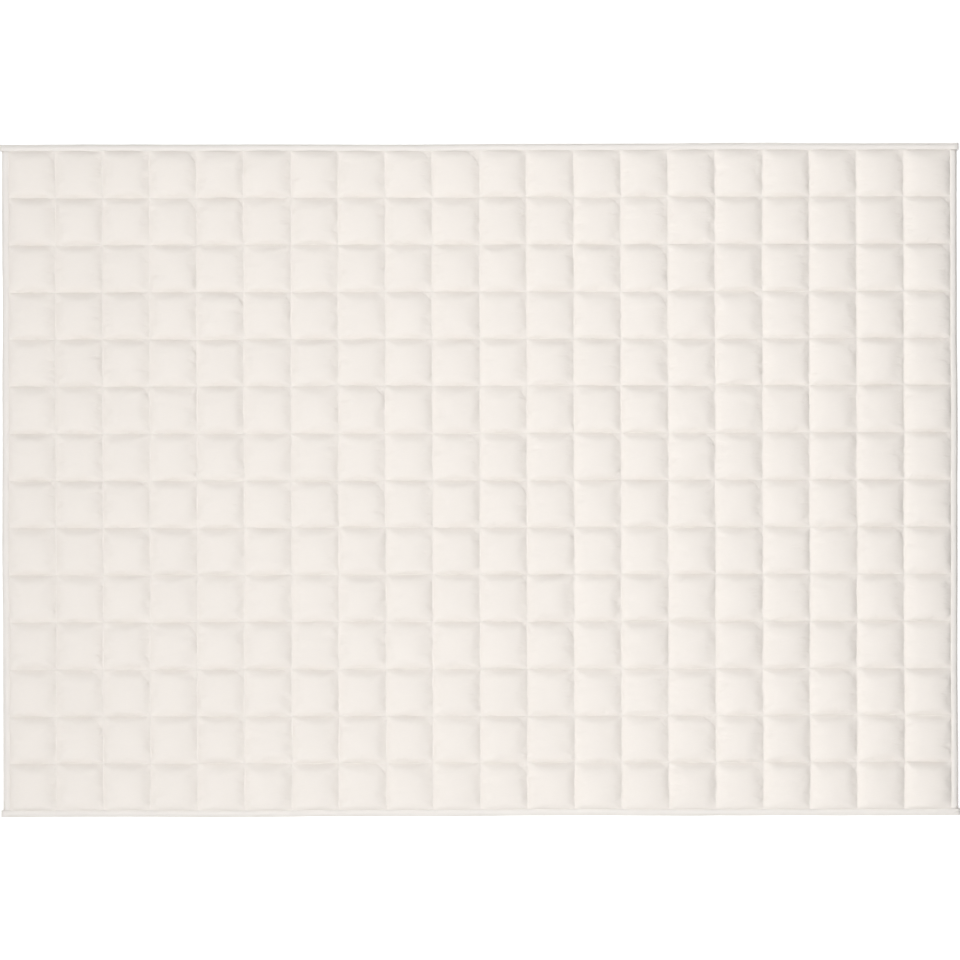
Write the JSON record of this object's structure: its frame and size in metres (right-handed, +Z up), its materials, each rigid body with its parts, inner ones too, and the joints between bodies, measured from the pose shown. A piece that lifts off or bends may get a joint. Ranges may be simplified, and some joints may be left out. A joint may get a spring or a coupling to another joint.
{
  "type": "weighted blanket",
  "caption": "Quilted weighted blanket lying flat, sewn into a grid of square filled pockets and bound with folded tape.",
  "frame": {"origin": "centre of the blanket's footprint, on the surface it lies on", "axes": "+X along the blanket's length, +Y across its width to the far long edge, +Z up from the surface"},
  "size_m": [2.009, 1.4096, 0.0152],
  "materials": {
    "quilted_cotton": "plain-woven cotton in warm ivory, soft and matte, quilted over filling",
    "binding_cotton": "plain-woven cotton tape in warm ivory, folded and topstitched, matte"
  },
  "bodies": {
    "root": {"quilted_body": "quilted_cotton", "binding_long_far": "binding_cotton", "binding_long_near": "binding_cotton", "binding_side_left": "binding_cotton", "binding_side_right": "binding_cotton"}
  },
  "joints": []
}
